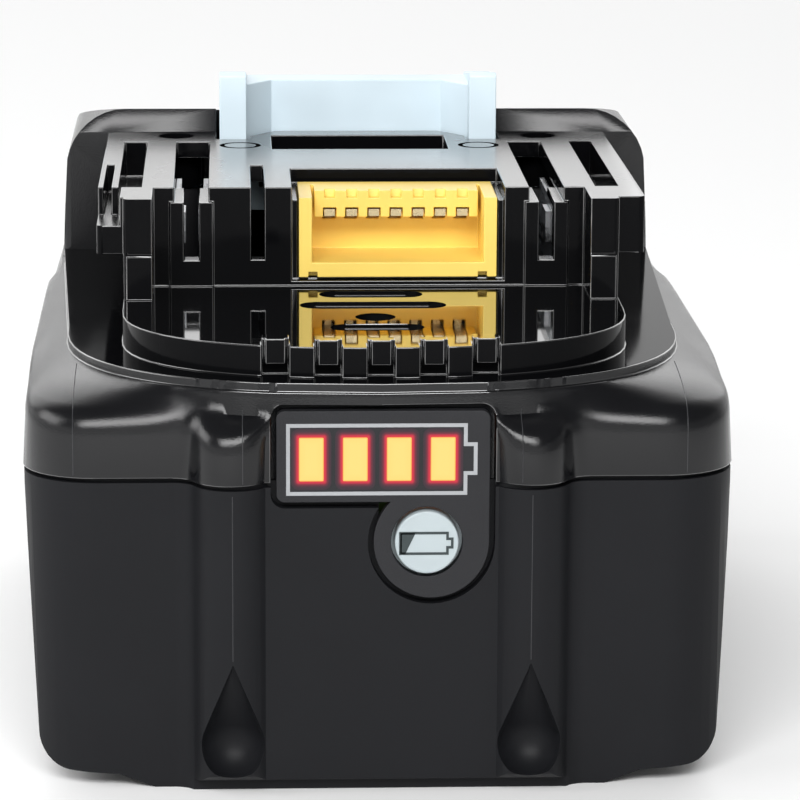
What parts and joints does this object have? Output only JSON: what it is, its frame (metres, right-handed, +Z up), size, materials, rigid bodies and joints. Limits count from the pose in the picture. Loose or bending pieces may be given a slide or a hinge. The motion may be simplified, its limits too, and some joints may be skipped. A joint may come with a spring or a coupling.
{
  "type": "power tool battery pack",
  "caption": "Slide-on battery pack for a cordless tool, with rail lips, terminal deck, sprung latch, charge gauge and a case that holds cylindrical cells.",
  "frame": {"origin": "middle of the pack's bounding box, on the surface it stands on", "axes": "+Z up, -Y towards the terminal end that enters the tool, +Y towards the release button, +X to the right seen from the terminal end"},
  "size_m": [0.076, 0.115, 0.067],
  "materials": {
    "matte_black": "fine matte",
    "gloss_black": "polished",
    "dark_steel": "dark finish",
    "gauge_grey": "fine grain",
    "amber_light": "lit",
    "white_plastic": "smooth",
    "switch_black": "plain",
    "plain_steel": "bright",
    "board_green": "lacquered",
    "light_body": "plain",
    "cable_film": "film",
    "spring_steel": "drawn wire",
    "yellow_plastic": "smooth",
    "contact_gilt": "plated",
    "capacitor_tan": "plain",
    "frame_black": "moulded",
    "insulating_paper": "plain",
    "foam_grey": "foam",
    "cell_wrap": "shrink sleeve",
    "nickel_strip": "rolled"
  },
  "bodies": {
    "case": {"lower_case": "matte_black", "upper_case": "gloss_black", "case_screws": "dark_steel", "deck_screws": "dark_steel", "gauge_panel": "gauge_grey", "gauge_windows": "amber_light", "check_switch": "plain_steel", "gauge_board": "board_green", "gauge_lights": "light_body", "gauge_cable": "cable_film", "latch_spring_left": "spring_steel", "latch_spring_right": "spring_steel", "terminal_block": "yellow_plastic", "signal_contacts": "contact_gilt", "positive_terminal": "plain_steel", "negative_terminal": "plain_steel", "sense_terminal": "plain_steel", "main_board": "board_green", "control_chip": "switch_black", "power_transistors": "switch_black", "filter_capacitors": "capacitor_tan", "safety_fuse": "light_body", "board_screws": "dark_steel", "cell_holder_left": "frame_black", "cell_holder_right": "frame_black", "insulator_left": "insulating_paper", "insulator_right": "insulating_paper", "base_pad": "foam_grey", "cell_1": "cell_wrap", "cell_2": "cell_wrap", "cell_3": "cell_wrap", "cell_4": "cell_wrap", "cell_5": "cell_wrap", "cell_6": "cell_wrap", "cell_7": "cell_wrap", "cell_8": "cell_wrap", "cell_9": "cell_wrap", "cell_10": "cell_wrap", "strap_1": "nickel_strip", "strap_2": "nickel_strip", "strap_3": "nickel_strip", "strap_4": "nickel_strip", "strap_5": "nickel_strip", "strap_6": "nickel_strip"},
    "latch": {"latch_hook": "white_plastic", "release_button": "gloss_black"},
    "button": {"check_button": "white_plastic", "switch_plunger": "switch_black"}
  },
  "joints": [
    {"name": "latch_slide", "type": "slide", "parent": "case", "child": "latch", "axis": [0, 0, -1], "range_m": [0, 0.0065], "stiffness_N_per_m": 900, "springref_m": -0.006, "deforming": ["latch_spring_left", "latch_spring_right"]},
    {"name": "check_press", "type": "slide", "parent": "case", "child": "button", "axis": [0, 1, 0], "range_m": [0, 0.0005], "stiffness_N_per_m": 2500, "springref_m": -0.0004}
  ]
}
